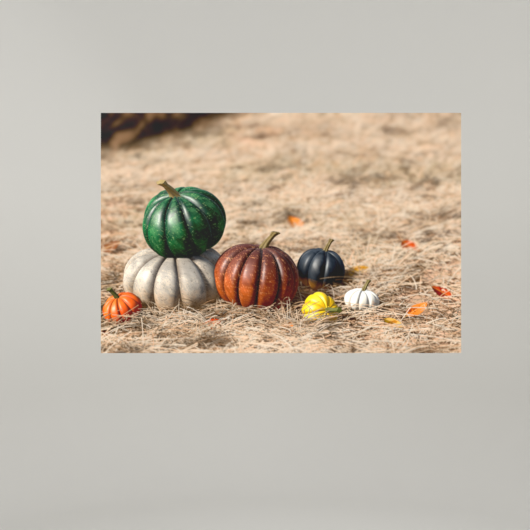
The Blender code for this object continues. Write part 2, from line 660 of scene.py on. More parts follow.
def squash_pile():
    """The squashes: skin, place, ring, tube, tallness, ribs and groove, then turn and stalk."""
    return [
        Squash(
            "silver", (-0.295, 3.66, 0.080), 0.052, 0.098, 0.86, 11, 0.13,
            (0.10, -0.05, 0.0), (0.0, 0.010, 0.0),
        ),
        Squash(
            "chestnut", (-0.065, 3.60, 0.083), 0.030, 0.090, 0.98, 12, 0.12,
            (-0.10, 0.14, 0.3), (0.045, 0.011, 0.030),
        ),
        Squash(
            "green", (-0.275, 3.67, 0.238), 0.030, 0.088, 1.02, 10, 0.08,
            (0.22, -0.20, 0.9), (0.050, 0.012, -0.030),
        ),
        Squash(
            "black", (0.118, 3.84, 0.050), 0.020, 0.052, 1.12, 8, 0.16,
            (-0.12, 0.20, 0.5), (0.034, 0.007, 0.012),
        ),
        Squash(
            "yellow", (0.105, 3.47, 0.035), 0.014, 0.037, 1.05, 9, 0.13,
            (1.15, 0.50, 0.2), (0.035, 0.007, 0.015),
        ),
        Squash(
            "white", (0.225, 3.60, 0.029), 0.016, 0.033, 0.86, 10, 0.15,
            (-0.10, 0.12, 0.4), (0.028, 0.006, 0.012),
        ),
        Squash(
            "orange", (-0.435, 3.52, 0.036), 0.016, 0.038, 0.92, 10, 0.14,
            (0.16, -0.30, 0.7), (0.030, 0.007, -0.012),
        ),
    ]


def nearest(points, squashes):
    """Distance from each point to the nearest squash, and which one that is."""
    best, which = np.full(len(points), FAR_AWAY), np.zeros(len(points), int)
    for number, squash in enumerate(squashes):
        distance = squash.distance(points)
        closer = distance < best
        best[closer], which[closer] = distance[closer], number
    return best, which


def first_touch(ways, squashes):
    """How far each ray from the eye goes to the squash that it meets, or infinity, and which that is."""
    reach, touch = np.full(len(ways), FIRST_REACH), np.full(len(ways), np.inf)
    which = np.zeros(len(ways), int)
    live = np.arange(len(ways))
    for _ in range(70):
        distance, number = nearest(EYE + ways[live] * reach[live][:, None], squashes)
        met = np.abs(distance) < TOUCH
        touch[live[met]], which[live[met]] = reach[live[met]], number[met]
        reach[live] += np.where(distance > 0, np.maximum(distance, 0.0004), 0.7 * distance)
        live = live[~met & (reach[live] < LAST_REACH)]
    return touch, which


def sun_past(points, squashes):
    """Share of the sun that reaches each point past the squashes, with soft edges to their shadows."""
    light, reach = np.ones(len(points)), np.full(len(points), SHADOW_START)
    live = np.arange(len(points))
    for _ in range(26):
        distance = nearest(points[live] + SUN * reach[live][:, None], squashes)[0]
        past = np.clip(SHADOW_SHARPNESS * distance / reach[live] + 0.50, 0, 1)
        light[live] = np.minimum(light[live], past)
        reach[live] += np.clip(distance, 0.006, 0.06)
        live = live[(light[live] > 0.01) & (reach[live] < SHADOW_END)]
    return light


def lit_squash(squash, points, sun_left, others):
    """Colour of points on one squash in the sun, the sky's light and the glow of the straw."""
    spots = squash.local(points)
    normal = squash.normal(spots)
    skin, gloss, stalk_tone = SKINS[squash.skin]
    crease = (1 - squash.rib(spots)) ** CREASE_POWER
    mottles = marbled(spots, 30, 3), marbled(spots, 130, 41), marbled(spots, 420, 77, 2)
    tone = skin(crease, spots[:, 2] / (squash.tall * squash.tube), *mottles)
    on_stalk = squash.stalk(spots) < squash.body(spots)
    bark = stalk_tone * (0.6 + 0.9 * marbled(spots, 200, 9))[:, None]
    tone = np.where(on_stalk[:, None], bark, tone)
    gloss = np.where(on_stalk, 0.05, gloss)
    view = unit(EYE - points)
    glint = np.clip((normal * unit(view + SUN)).sum(1), 0, 1)
    facing = np.clip((normal * view).sum(1), 0, 1)
    low = np.clip(points[:, 2] / 0.10, 0, 1)
    apart = nearest(points + normal * 0.02, others)[0]
    open_sky = (0.35 + 0.65 * low) * np.clip(0.35 + apart / 0.06, 0, 1)
    sun = np.clip(normal @ SUN, 0, 1) * sun_left
    sky = (0.5 + 0.5 * normal[:, 2]) * open_sky
    glow = (0.5 - 0.5 * normal[:, 2]) * (0.5 + 0.5 * low)
    shine = gloss * (CORE[0] * glint ** CORE[1] + HALO[0] * glint ** HALO[1]) * sun_left
    upward = 0.3 + 0.7 * np.clip(normal[:, 2], 0, 1)
    sheen = gloss * (0.04 + 0.5 * (1 - facing) ** 4) * open_sky * upward
    colour = tone * (tinted(sun, SKIN_SUN) + tinted(sky, SKIN_SKY) + tinted(glow, SKIN_GLOW))
    return colour + tinted(shine, SHINE_TINT) + tinted(sheen, SHEEN_TINT)


def squash_layer(ways, squashes):
    """The squashes on the canvas, and how far off along the field each place of them is."""
    close = np.zeros((HIGH, WIDE), bool)
    for squash in squashes:
        away = squash.centre - EYE
        along = ways @ away
        close |= np.sqrt(np.maximum(away @ away - along**2, 0)) < squash.reach + 0.01
    rays = ways[close]
    touch, which = first_touch(rays, squashes)
    solid = np.isfinite(touch)
    points, which = EYE + rays[solid] * touch[solid][:, None], which[solid]
    sun_left = sun_past(points, squashes)
    colour = np.zeros((len(points), 3))
    for number, squash in enumerate(squashes):
        mine = which == number
        others = squashes[:number] + squashes[number + 1:]
        colour[mine] = lit_squash(squash, points[mine], sun_left[mine], others)
    layer, far = np.zeros((HIGH * WIDE, 3)), np.full(HIGH * WIDE, np.inf)
    places = np.flatnonzero(close)[solid]
    layer[places], far[places] = colour, points[:, 1]
    return layer.reshape(HIGH, WIDE, 3), far.reshape(HIGH, WIDE)


# ---- Fallen leaves


class Leaf:
    """A dry leaf that lies tilted on the straw, folded a little along its midrib."""

    def __init__(self, x, y, above, length, tone, turn):
        self.centre = above_ground(x, y, above)
        self.half = length / 2
        self.tone = tone
        self.axes = turned(*turn)

    def meet(self, origin, ways):
        """Where rays from an origin cross the leaf's plane, along and across it in half lengths."""
        normal = self.axes[:, 2]
        reach = ((self.centre - origin) @ normal) / (ways @ normal)
        points = origin + ways * reach[..., None]
        local = (points - self.centre) @ self.axes / self.half
        return reach, points, local[..., 0], local[..., 1]

    def outline(self, along, across):
        """True inside the pointed blade with its toothed rim, or on the thin stalk behind it."""
        room = np.clip(1 - along**2, 0, 1)
        teeth = 1 + 0.10 * np.abs(((along * 5) % 1.0) - 0.5)
        half_width = 0.58 * room**0.75 * (1 - 0.30 * along) * teeth
        off_stalk = np.abs(across - 0.10 * (along + 0.9) ** 2)
        stalk = (along > -1.6) & (along < -0.9) & (off_stalk < 0.030)
        return (np.abs(across) < half_width) | stalk

    def colour(self, along, across, sun_left):
        """The lit blade, with its midrib, side veins, blotches and curled halves."""
        side = np.sign(across)
        fold = self.axes[:, 2] + self.axes[:, 1] * (-0.45 * side - 0.5 * across)[:, None]
        normal = unit(fold - self.axes[:, 0] * (0.5 * along)[:, None])
        normal *= np.sign(normal[:, 2:3])
        blotch = cloud(along * 3 + self.half * 900, across * 3 + 5, 401)
        tone = mixed(self.tone, self.tone * np.array([0.55, 0.36, 0.30]), ramp(0.48, 0.70, blotch))
        veins = np.abs(((along * 3.2 - np.abs(across) * 2.4) % 1.0) - 0.5) < 0.07
        tone = mixed(tone, self.tone * 1.25, 0.45 * veins)
        tone = mixed(tone, ink(214, 176, 110), 0.8 * (np.abs(across) < 0.028))
        sun = np.abs(normal @ SUN) * sun_left
        return tone * (tinted(sun, SUNLIGHT * 1.1) + (SKYLIGHT + GLOW) * 0.9)


def leaves():
    """Leaves strewn round the squashes and out to the right."""
    rust, amber = ink(196, 84, 40), ink(224, 132, 52)
    gold, brown = ink(232, 182, 74), ink(142, 88, 58)
    return [
        Leaf(0.372, 3.52, 0.020, 0.074, amber, (0.35, -0.25, 0.6)),
        Leaf(0.455, 3.66, 0.022, 0.066, rust, (0.50, 0.20, 2.6)),
        Leaf(0.300, 3.40, 0.018, 0.060, gold, (0.30, 0.15, -0.5)),
        Leaf(-0.190, 3.40, 0.018, 0.064, rust, (0.40, -0.15, 3.5)),
        Leaf(0.020, 3.36, 0.016, 0.052, amber, (0.35, 0.30, 1.3)),
        Leaf(0.235, 3.92, 0.024, 0.070, gold, (0.55, -0.20, 0.2)),
        Leaf(0.420, 4.20, 0.024, 0.080, rust, (0.60, 0.10, -0.8)),
        Leaf(-0.470, 3.36, 0.016, 0.056, brown, (0.35, 0.25, 0.9)),
        Leaf(0.050, 4.55, 0.026, 0.080, amber, (0.60, 0.00, 2.2)),
        Leaf(-0.560, 4.25, 0.024, 0.080, brown, (0.60, -0.20, 0.4)),
    ]


def leaf_window(leaf, margin=0.10):
    """Rows and columns of the canvas round a leaf and its shadow."""
    column, row, scale = canvas_place(leaf.centre[0], leaf.centre[1], leaf.centre[2])
    reach = int((leaf.half * 1.7 + margin) * scale)
    rows = slice(max(0, int(row) - reach), min(HIGH, int(row) + reach))
    columns = slice(max(0, int(column) - reach), min(WIDE, int(column) + reach))
    return rows, columns


# ---- The field and the finished picture

# Stretch of the field that the squashes can shade, to either side and from near to far
PILE_SIDE = 0.85
PILE_NEAR = 3.25
PILE_FAR = 4.35
# Reach of each level of blur by distance from the focus, in dots
FOCUS_LEVELS = (0, 1, 2, 4, 7, 11, 16)


def bare_soil(x, y):
    """Peach-coloured dry soil with grit in it."""
    mottle = cloud(x * 7, y * 5, 371)
    soil = mixed(ink(222, 184, 152), ink(202, 166, 138), mottle)
    return soil * (0.80 + 0.40 * cloud(x * 90, y * 40, 361, 3))[..., None]


def slope_light(x, y, ground):
    """How squarely the sun meets the ground's relief, against one for level ground."""
    slope_x = (relief(x + 0.02, y) - ground) / 0.02
    slope_y = (relief(x, y + 0.02) - ground) / 0.02
    normal = unit(np.stack([-slope_x, -slope_y, np.ones_like(slope_x)], -1))
    return np.clip(normal @ SUN, 0, 1) / SUN[2]


def open_to_sky(straw_height, ground):
    """How much sky is left at each place between taller straw and higher ground."""
    sky = np.ones((HIGH, WIDE), np.float32)
    for sigma, weight in ((2, 0.40), (7, 0.35), (18, 0.30)):
        sky -= weight * np.clip((blurred(straw_height, sigma) - straw_height) / 0.012, 0, 1)
    dip = np.clip((blurred(ground, 26) - ground) / 0.010, 0, 1)
    return np.clip(sky * (1 - 0.35 * dip), 0.1, 1)


def squash_shade(places, squashes):
    """Sun and sky that the squashes leave to places on the field."""
    sun, sky = np.ones(len(places)), np.ones(len(places))
    near = (np.abs(places[:, 0]) < PILE_SIDE) & (places[:, 1] > PILE_NEAR) & (places[:, 1] < PILE_FAR)
    raised = places[near] + np.array([0, 0, 0.004])
    sun[near] = sun_past(raised, squashes)
    sky[near] = np.clip(0.30 + nearest(raised, squashes)[0] / 0.07, 0, 1)
    return sun, sky


def leaf_shade(places, all_leaves):
    """Sun that the leaves leave to places on the field."""
    sun = np.ones((HIGH, WIDE))
    for leaf in all_leaves:
        rows, columns = leaf_window(leaf)
        patch = places[rows, columns]
        reach, _, along, across = leaf.meet(patch, SUN)
        sun[rows, columns] *= np.where((reach > 0.002) & leaf.outline(along, across), 0.15, 1.0)
    return blurred(sun, 1)


def field_layer(x, y, squashes, all_leaves, random):
    """The sunlit straw field without its squashes, and the point of the field at each place."""
    ground = relief(x, y)
    points = straw_points(random)
    front = front_straw(points)
    straw = front >= 0
    shown, lane = front[straw] // len(LANES), front[straw] % len(LANES)
    places = np.stack([x.ravel(), y.ravel(), ground.ravel()], 1)
    places[straw] = np.stack([points[key][shown] for key in "xyz"], 1)
    colour = bare_soil(x, y).reshape(-1, 3)
    lane_light = np.array([light for _, _, light in LANES])[lane]
    root_to_tip = 0.80 + 0.28 * points["share"][shown]
    colour[straw] = points["tone"][points["blade"][shown]] * (root_to_tip * lane_light)[:, None]
    facing = slope_light(x, y, ground).ravel()
    facing[straw] = 0.55 + 0.45 * facing[straw]
    sun = facing * (1 - SunMap(points).shade(*places.T))
    sky = open_to_sky(places[:, 2].reshape(HIGH, WIDE) - ground, ground).ravel()
    sun_left, sky_left = squash_shade(places, squashes)
    places = places.reshape(HIGH, WIDE, 3)
    sun = sun.reshape(HIGH, WIDE) * sun_left.reshape(HIGH, WIDE) * leaf_shade(places, all_leaves)
    sky = (sky * sky_left).reshape(HIGH, WIDE)
    dark = hollow_depth(places[..., 0], places[..., 1], random)
    patchy = 0.82 + 0.32 * cloud(x * 2.3 + 11, y * 1.2, 430)
    sun, sky = sun * (1 - dark) * patchy, sky * (1 - 0.6 * dark) * patchy
    light = tinted(sun, SUNLIGHT) + tinted(sky, SKYLIGHT) + tinted(0.4 + 0.6 * sky, GLOW)
    return colour.reshape(HIGH, WIDE, 3) * light, places, straw.reshape(HIGH, WIDE)


def hedge_shadow(layer, x, y):
    """Darkens the far left of the field to the foot of a bare hedge."""
    edge = 5.55 + 2.2 * ramp(-0.9, 0.45, x) + 0.8 * (cloud(x * 2.2, y * 0.8, 421) - 0.5)
    depth = ramp(0.0, 0.7, y - edge)
    twigs = cloud(x * 26 + 4 * cloud(x * 5, y * 2, 431), y * 2.5, 441, 3)
    bark = mixed(ink(34, 26, 22), ink(150, 118, 92), ramp(0.42, 0.72, twigs))
    return mixed(layer, bark, 0.92 * depth)


def focused(layer, y):
    """The layer with each row blurred by how far off the focus its ground lies."""
    stack = [blurred(layer, sigma) for sigma in FOCUS_LEVELS]
    out = np.zeros(layer.shape)
    for row, distance in enumerate(y[:, 0]):
        sigma = FOCUS_SPREAD * abs(distance - FOCUS_DISTANCE) / distance
        above = int(np.clip(np.searchsorted(FOCUS_LEVELS, sigma), 1, len(stack) - 1))
        low, high = FOCUS_LEVELS[above - 1], FOCUS_LEVELS[above]
        share = min(1.0, (sigma - low) / (high - low))
        out[row] = stack[above - 1][row] * (1 - share) + stack[above][row] * share
    return out


def toned(layer):
    """The field through the film's tone curve: deep warm shadows, and lights that roll off pale."""
    light = np.maximum(layer @ LUMINANCE, 1e-5)
    dark = TONE_PIVOT * (light / TONE_PIVOT) ** SHADOW_CONTRAST
    headroom = TONE_CEILING - TONE_PIVOT
    bright = TONE_CEILING - headroom * np.exp((TONE_PIVOT - light) / headroom)
    level = np.where(light < TONE_PIVOT, dark, bright)
    strength = np.interp(level, COLOUR_LEVELS, COLOUR_STRENGTHS)
    grey = level[..., None]
    return np.maximum(grey + (layer * (level / light)[..., None] - grey) * strength[..., None], 0)


def lay_leaves(layer, places, ways, all_leaves, squashes):
    """Paints each leaf over the straw behind it."""
    for leaf in all_leaves:
        rows, columns = leaf_window(leaf)
        _, points, along, across = leaf.meet(EYE, ways[rows, columns])
        shown = leaf.outline(along, across) & (points[..., 1] < places[rows, columns, 1] + 0.004)
        sun_left = sun_past(points[shown], squashes)
        patch = layer[rows, columns]
        patch[shown] = leaf.colour(along[shown], across[shown], sun_left)
    return layer


def outlines(far):
    """Dots on either side of a squash's outline, where the scene's depth jumps."""
    depth = np.where(np.isfinite(far), far, FAR_AWAY)
    across = np.abs(np.diff(depth, axis=1)) > OUTLINE_DEPTH
    down = np.abs(np.diff(depth, axis=0)) > OUTLINE_DEPTH
    rims = np.zeros(far.shape, bool)
    rims[:, 1:] |= across
    rims[:, :-1] |= across
    rims[1:] |= down
    rims[:-1] |= down
    return rims


def softened(layer, share):
    """A layer with a share of its four neighbours mixed into each dot."""
    framed = np.pad(layer, ((1, 1), (1, 1), (0, 0)), mode="edge")
    around = framed[:-2, 1:-1] + framed[2:, 1:-1] + framed[1:-1, :-2] + framed[1:-1, 2:]
    return mixed(layer, around / 4, share)


def paint_picture():
    """The whole picture as linear colours, one for each dot, from the top row down."""
    random = np.random.default_rng(11)
    ways, x, y = field_grid()
    squashes, all_leaves = squash_pile(), leaves()
    field, places, straw = field_layer(x, y, squashes, all_leaves, random)
    field = lay_leaves(field, places, ways, all_leaves, squashes)
    field = hedge_shadow(field, x, y)
    pile, far = squash_layer(ways, squashes)
    solid = np.isfinite(far)
    in_front = solid & straw & (places[..., 1] < far)
    over = focused(in_front[..., None], y)[..., 0]
    field = toned(focused(field, y))
    picture = np.where(solid[..., None], mixed(pile, field, over), field)
    softness = np.where(outlines(far), OUTLINE_SOFTNESS, LENS_SOFTNESS)
    return np.clip(softened(picture, softness) * INK_GAIN - GLOSS_VEIL, 0, 1)


# ---- The sheet in Blender


def rounded_rim(half_width, half_height, radius, across=1, up=1):
    """Points round a rectangle from its low left corner: each arc, then the ends of the cells after it."""
    corners = ((-1, -1), (1, -1), (1, 1), (-1, 1))
    points = []
    for number, (side, level) in enumerate(corners):
        for k in range(CORNER_STEPS + 1):
            angle = math.pi * (1 + (number + k / CORNER_STEPS) / 2)
            x = side * (half_width - radius) + radius * math.cos(angle)
            z = level * (half_height - radius) + radius * math.sin(angle)
            points.append((x, z))
        next_side, next_level = corners[(number + 1) % 4]
        cells = up if number % 2 else across
        for k in range(1, cells):
            x = half_width * (side + (next_side - side) * k / cells)
            z = half_height * (level + (next_level - level) * k / cells)
            points.append((x, z))
    return points


def wall_faces(length, loops, first=0):
    """Faces that join loops of points stacked one after the other."""
    start = np.arange(length)
    end = (start + 1) % length
    ring = first + np.stack([start, start + length, end + length, end], -1)
    return np.concatenate([ring + k * length for k in range(loops - 1)]).tolist()


def new_mesh(name, points, faces):
    """A mesh from its points and faces."""
    mesh = bpy.data.meshes.new(name)
    mesh.from_pydata(points, [], faces)
    return mesh


def placed(name, data):
    """A mesh, lamp or camera as an object of the scene, at the origin."""
    piece = bpy.data.objects.new(name, data)
    bpy.context.scene.collection.objects.link(piece)
    return piece


def sheet_loops():
    """The rim's loops from the printed face round the cut edge to the back, with their eased arrises."""
    front, back = FILM_LOW.y, FILM_HIGH.y
    slack = EDGE_EASE * (1 - math.sqrt(0.5))
    set_in_and_depth = (
        (EDGE_EASE, front),
        (slack, front + slack),
        (0.0, front + EDGE_EASE),
        (0.0, back - EDGE_EASE),
        (EDGE_EASE, back),
    )
    loops = []
    for ease, depth in set_in_and_depth:
        half_width, half_height = SHEET_WIDTH / 2 - ease, SHEET_HEIGHT / 2 - ease
        rim = rounded_rim(half_width, half_height, CORNER_RADIUS - ease, CELLS_ACROSS, CELLS_UP)
        loops.append([(x, depth, z) for x, z in rim])
    return loops


def inner_points():
    """The corners of the cells that lie inside the printed face's rim."""
    columns, rows = np.meshgrid(np.arange(1, CELLS_ACROSS), np.arange(1, CELLS_UP))
    x, z = SHEET_WIDTH * (columns / CELLS_ACROSS - 0.5), SHEET_HEIGHT * (rows / CELLS_UP - 0.5)
    return np.stack([x, np.full(x.shape, FILM_LOW.y), z], -1).reshape(-1, 3)


def vertex_numbers(loop_length):
    """Vertex numbers of the printed face by row and column: its rim first, then what lies inside it."""
    numbers = np.full((CELLS_UP + 1, CELLS_ACROSS + 1), -1)
    across, up, arc = CELLS_ACROSS - 1, CELLS_UP - 1, CORNER_STEPS + 1
    starts = np.cumsum([arc, across + arc, up + arc, across + arc])
    numbers[0, 1:-1] = starts[0] + np.arange(across)
    numbers[1:-1, -1] = starts[1] + np.arange(up)
    numbers[-1, 1:-1] = starts[2] + np.arange(across)[::-1]
    numbers[1:-1, 0] = starts[3] + np.arange(up)[::-1]
    numbers[1:-1, 1:-1] = LOOPS * loop_length + np.arange(up * across).reshape(up, across)
    return numbers


def corner_cells(numbers):
    """The four cells with a round corner, each as one face from the start of its arc."""
    side, rise = CELLS_ACROSS + CORNER_STEPS, CELLS_UP + CORNER_STEPS
    arcs = (0, side, side + rise, 2 * side + rise)
    ends = (
        (numbers[0, 1], numbers[1, 1], numbers[1, 0]),
        (numbers[1, -1], numbers[1, -2], numbers[0, -2]),
        (numbers[-1, -2], numbers[-2, -2], numbers[-2, -1]),
        (numbers[-2, 0], numbers[-2, 1], numbers[-1, 1]),
    )
    return [[*range(arc, arc + CORNER_STEPS + 1), *end] for arc, end in zip(arcs, ends)]


def sheet_mesh(picture):
    """The film as one closed sheet, with the picture's dots of ink on the cells of its face."""
    loops = np.array(sheet_loops())
    length = loops.shape[1]
    numbers = vertex_numbers(length)
    low, high = numbers[:-1], numbers[1:]
    cells = np.stack([low[:, :-1], low[:, 1:], high[:, 1:], high[:, :-1]], -1).reshape(-1, 4)
    whole = np.flatnonzero((cells >= 0).all(1))
    cell = np.concatenate([whole, [0, CELLS_ACROSS - 1, len(cells) - 1, len(cells) - CELLS_ACROSS]])
    back = list(range(LOOPS * length - 1, (LOOPS - 1) * length - 1, -1))
    faces = [*cells[whole].tolist(), *corner_cells(numbers), *wall_faces(length, LOOPS), back]
    points = np.concatenate([loops.reshape(-1, 3), inner_points()])
    mesh = new_mesh("printed_film", points.tolist(), faces)
    mesh.polygons.foreach_set("material_index", [0] * len(cell) + [1] * (len(faces) - len(cell)))
    lay_ink(mesh, picture, cell)
    lay_cell_places(mesh, cell)
    lay_bake_map(mesh, len(cell), length)
    return mesh


def lay_ink(mesh, picture, cell):
    """Gives each printed face the colours of its cell's dots.

    Each place in a cell has an attribute of its own, so one face carries sixteen dots of the picture
    and the sheet stays light.
    """
    dots = picture[::-1].reshape(CELLS_UP, DOTS, CELLS_ACROSS, DOTS, 3)
    dots = dots.swapaxes(1, 2).reshape(-1, DOTS, DOTS, 3)
    for row in range(DOTS):
        for column in range(DOTS):
            tones = np.ones((len(mesh.polygons), 3), np.float32)
            tones[:len(cell)] = dots[cell, row, column]
            layer = mesh.attributes.new(DOT_NAME.format(row, column), "FLOAT_VECTOR", "FACE")
            layer.data.foreach_set("vector", tones.ravel())


def values_of(items, field, kind, width=1):
    """One field of every item of a mesh."""
    values = np.zeros(len(items) * width, kind)
    items.foreach_get(field, values)
    return values


def corner_spots(mesh):
    """Where each face corner lies on the sheet, from 0 to 1 across and up."""
    vertex = values_of(mesh.loops, "vertex_index", np.int32)
    points = values_of(mesh.vertices, "co", np.float32, 3).reshape(-1, 3)[vertex]
    return points[:, 0] / SHEET_WIDTH + 0.5, points[:, 2] / SHEET_HEIGHT + 0.5


def lay_cell_places(mesh, cell):
    """Gives each corner of a printed face its place in its cell, from 0 to 1 across and up."""
    corners = values_of(mesh.polygons, "loop_total", np.int32)[:len(cell)]
    owner = np.repeat(cell, corners)
    across, up = corner_spots(mesh)
    places = np.zeros((len(mesh.loops), 3), np.float32)
    places[:len(owner), 0] = across[:len(owner)] * CELLS_ACROSS - owner % CELLS_ACROSS
    places[:len(owner), 1] = up[:len(owner)] * CELLS_UP - owner // CELLS_ACROSS
    layer = mesh.attributes.new(PLACE_NAME, "FLOAT_VECTOR", "CORNER")
    layer.data.foreach_set("vector", places.ravel())


def in_window(across, up, window):
    """Places on the bake map of spots that fill one of its windows."""
    left, low, width, height = window
    return np.stack([left + width * across, low + height * up], -1)


def lay_bake_map(mesh, printed, length):
    """Gives the printed face nearly all of the map, and the rim and back thin strips below it."""
    across, up = corner_spots(mesh)
    spots = in_window(across, up, FACE_WINDOW)
    step, band = np.meshgrid(np.arange(length), np.arange(LOOPS - 1))
    left, right = step / length, (step + 1) / length
    low = BAND_LEVEL + BAND_PITCH * band
    high = low + BAND_HEIGHT
    strip = np.stack([left, low, left, high, right, high, right, low], -1).reshape(-1, 2)
    first = mesh.polygons[printed].loop_start
    last = first + len(strip)
    spots[first:last] = strip
    spots[last:] = in_window(across[last:], up[last:], BACK_WINDOW)
    bake_map = mesh.uv_layers.new(name="OFBake")
    bake_map.data.foreach_set("uv", spots.astype(np.float32).ravel())


def film_sheet():
    """The printed film, which stands for the plain film of the frame."""
    mesh = sheet_mesh(paint_picture())
    mesh.materials.append(printed_vinyl())
    mesh.materials.append(white_vinyl())
    return placed("vinyl_film_sheet", mesh)


# ---- The adhesive coat: a thin plate with pads that leave air channels between them


class Nodes:
    """A tree of nodes in the making."""

    def __init__(self, tree):
        self.tree = tree

    def link(self, output, target):
        """Joins an output to an input."""
        self.tree.links.new(output, target)

    def node(self, kind, inputs=None, **settings):
        """A new node with its settings made and its inputs linked or set."""
        node = self.tree.nodes.new(kind)
        for label, value in settings.items():
            setattr(node, label, value)
        for label, value in (inputs or {}).items():
            if isinstance(value, bpy.types.NodeSocket):
                self.link(value, node.inputs[label])
            else:
                node.inputs[label].default_value = value
        return node


class CoatNodes(Nodes):
    """Geometry nodes that work on a plate, with named inputs for their sizes."""

    def __init__(self, name, sizes):
        super().__init__(bpy.data.node_groups.new(name, "GeometryNodeTree"))
        self.sizes = sizes
        sockets = self.tree.interface
        sockets.new_socket("Plate", in_out="INPUT", socket_type="NodeSocketGeometry")
        for label, value in sizes.items():
            kind = "NodeSocketInt" if isinstance(value, int) else "NodeSocketFloat"
            kind = "NodeSocketMaterial" if isinstance(value, bpy.types.Material) else kind
            sockets.new_socket(label, in_out="INPUT", socket_type=kind)
        sockets.new_socket("Coat", in_out="OUTPUT", socket_type="NodeSocketGeometry")
        self.source = self.node("NodeGroupInput")

    def size(self, label):
        """The output of one of the named inputs."""
        return self.source.outputs[label]

    def sum(self, operation, first, second=0.0):
        """The output of a math node."""
        return self.node("ShaderNodeMath", {0: first, 1: second}, operation=operation).outputs[0]

    def pitches(self):
        """How far apart the pads stand across and up."""
        width = self.sum("DIVIDE", self.size("Width"), self.size("Pads across"))
        return width, self.sum("DIVIDE", self.size("Height"), self.size("Pads up"))

    def joined(self, *parts):
        """Several pieces of geometry as one."""
        join = self.node("GeometryNodeJoinGeometry")
        for part in parts:
            self.link(part, join.inputs[0])
        return join.outputs[0]

    def run_on(self, piece, result):
        """Ends the tree, runs it on a piece with its sizes and returns the plain mesh it makes."""
        self.link(result, self.node("NodeGroupOutput").inputs[0])
        modifier = piece.modifiers.new(self.tree.name, "NODES")
        modifier.node_group = self.tree
        for item in self.tree.interface.items_tree:
            if item.in_out == "INPUT" and item.name in self.sizes:
                modifier[item.identifier] = self.sizes[item.name]
        ready = piece.evaluated_get(bpy.context.evaluated_depsgraph_get())
        mesh = bpy.data.meshes.new_from_object(ready)
        piece.modifiers.remove(modifier)
        return mesh


def pad_lattice(nodes, trimmed):
    """Points for every second row of pads: on the plate's rim, or half a pitch in from it if trimmed."""
    across, up = nodes.size("Pads across"), nodes.size("Pads up")
    width, height = nodes.size("Width"), nodes.size("Height")
    if trimmed:
        pitch_across, pitch_up = nodes.pitches()
        width = nodes.sum("SUBTRACT", width, pitch_across)
        height = nodes.sum("SUBTRACT", height, pitch_up)
    else:
        across, up = nodes.sum("ADD", across, 1.0), nodes.sum("ADD", up, 1.0)
    spread = {"Size X": width, "Size Y": height, "Vertices X": across, "Vertices Y": up}
    grid = nodes.node("GeometryNodeMeshGrid", spread).outputs["Mesh"]
    upright = {"Geometry": grid, "Rotation": (math.radians(90), 0, 0)}
    return nodes.node("GeometryNodeTransform", upright).outputs["Geometry"]


def pad_shape(nodes):
    """One diamond pad, as wide and as high as the pitch leaves once the channels are taken out."""
    cube = nodes.node("GeometryNodeMeshCube", {"Size": (math.sqrt(0.5), 1.0, math.sqrt(0.5))})
    on_edge = {"Geometry": cube.outputs["Mesh"], "Rotation": (0, math.radians(45), 0)}
    diamond = nodes.node("GeometryNodeTransform", on_edge).outputs["Geometry"]
    gap = nodes.sum("MULTIPLY", nodes.size("Channel"), math.sqrt(2))
    wide, high = [nodes.sum("SUBTRACT", pitch, gap) for pitch in nodes.pitches()]
    thick = nodes.size("Pad thickness")
    scale = nodes.node("ShaderNodeCombineXYZ", {0: wide, 1: thick, 2: high}).outputs[0]
    place = nodes.node("ShaderNodeCombineXYZ", {1: nodes.sum("MULTIPLY", thick, -0.5)}).outputs[0]
    pad = {"Geometry": diamond, "Scale": scale, "Translation": place}
    return nodes.node("GeometryNodeTransform", pad).outputs["Geometry"]


def trimmed_to_plate(nodes, pads):
    """Pads that run past the plate's rim, cut back to it."""
    place = nodes.node("GeometryNodeInputPosition")
    parts = nodes.node("ShaderNodeSeparateXYZ", {0: place.outputs[0]}).outputs
    kept = []
    for axis, label in ((0, "Width"), (2, "Height")):
        half = nodes.sum("MULTIPLY", nodes.size(label), 0.5)
        half = nodes.sum("SUBTRACT", half, nodes.size("Channel"))
        low = nodes.sum("MULTIPLY", half, -1.0)
        kept.append(nodes.sum("MAXIMUM", nodes.sum("MINIMUM", parts[axis], half), low))
    inside = nodes.node("ShaderNodeCombineXYZ", {0: kept[0], 1: parts[1], 2: kept[1]}).outputs[0]
    moved = nodes.node("GeometryNodeSetPosition", {"Geometry": pads, "Position": inside}).outputs[0]
    merge = {"Geometry": moved, "Distance": 1e-5}
    return nodes.node("GeometryNodeMergeByDistance", merge).outputs["Geometry"]


def channelled_coat(plate, look):
    """Lays diamond pads on the plate, with air channels between them."""
    nodes = CoatNodes("Air channels", {
        "Width": COAT_HIGH.x - COAT_LOW.x,
        "Height": COAT_HIGH.z - COAT_LOW.z,
        "Pad thickness": COAT_HIGH.y - PLATE_BACK + COAT_BURY,
        "Channel": CHANNEL_WIDTH,
        "Pads across": PADS_ACROSS,
        "Pads up": PADS_UP,
        "Look": look,
    })
    lattice = nodes.joined(*[pad_lattice(nodes, trimmed) for trimmed in (False, True)])
    laid = {"Points": lattice, "Instance": pad_shape(nodes)}
    pads = nodes.node("GeometryNodeInstanceOnPoints", laid).outputs[0]
    solid = nodes.node("GeometryNodeRealizeInstances", {0: pads}).outputs[0]
    coat = nodes.joined(trimmed_to_plate(nodes, solid), nodes.size("Plate"))
    dressed = {"Geometry": coat, "Material": nodes.size("Look")}
    return nodes.run_on(plate, nodes.node("GeometryNodeSetMaterial", dressed).outputs[0])


